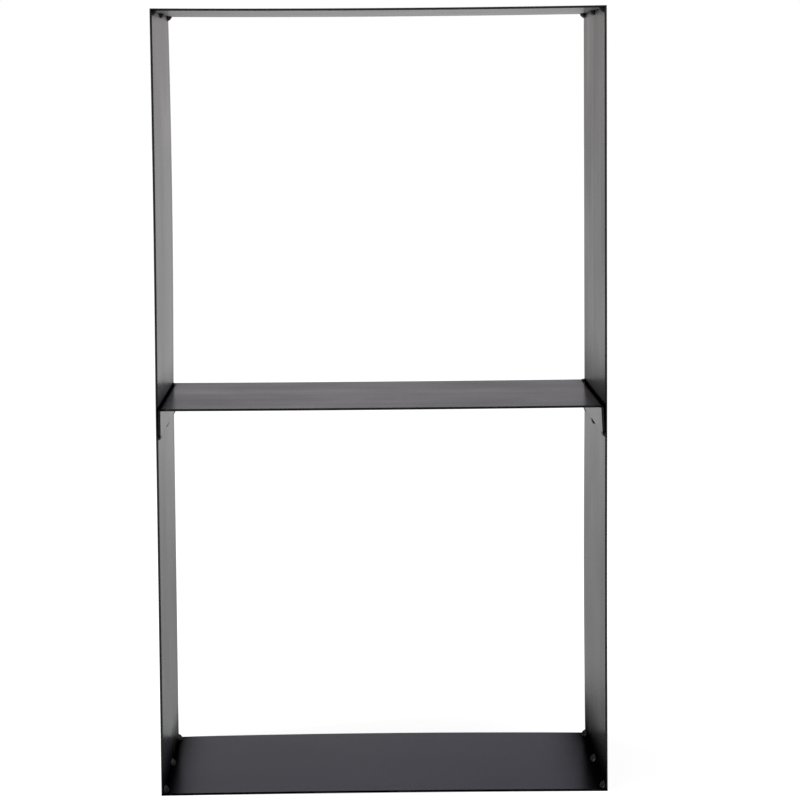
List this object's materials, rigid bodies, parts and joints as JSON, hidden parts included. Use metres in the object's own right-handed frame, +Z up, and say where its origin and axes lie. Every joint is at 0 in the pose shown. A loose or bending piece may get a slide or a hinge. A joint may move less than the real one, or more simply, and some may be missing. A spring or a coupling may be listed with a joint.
{
  "type": "firewood log rack",
  "caption": "Tall open sheet-steel rack for firewood: two sides, top, base and a middle shelf with folded ends, joined by short weld beads.",
  "frame": {"origin": "on the floor, under the middle of the rack's width and depth", "axes": "+Z up along the height, +X to the right along the width, +Y from the front edges to the back edges along the depth"},
  "size_m": [0.4, 0.25, 0.7],
  "materials": {
    "black_powder_coat": "satin black powder coat on 2 mm sheet steel, faint fine texture",
    "coated_weld_bead": "rippled steel weld bead under the same satin black powder coat"
  },
  "bodies": {
    "root": {"left_side": "black_powder_coat", "right_side": "black_powder_coat", "top_panel": "black_powder_coat", "base_panel": "black_powder_coat", "middle_shelf": "black_powder_coat", "top_left_welds": "coated_weld_bead", "top_right_welds": "coated_weld_bead", "base_left_welds": "coated_weld_bead", "base_right_welds": "coated_weld_bead", "shelf_left_welds": "coated_weld_bead", "shelf_right_welds": "coated_weld_bead"}
  },
  "joints": []
}
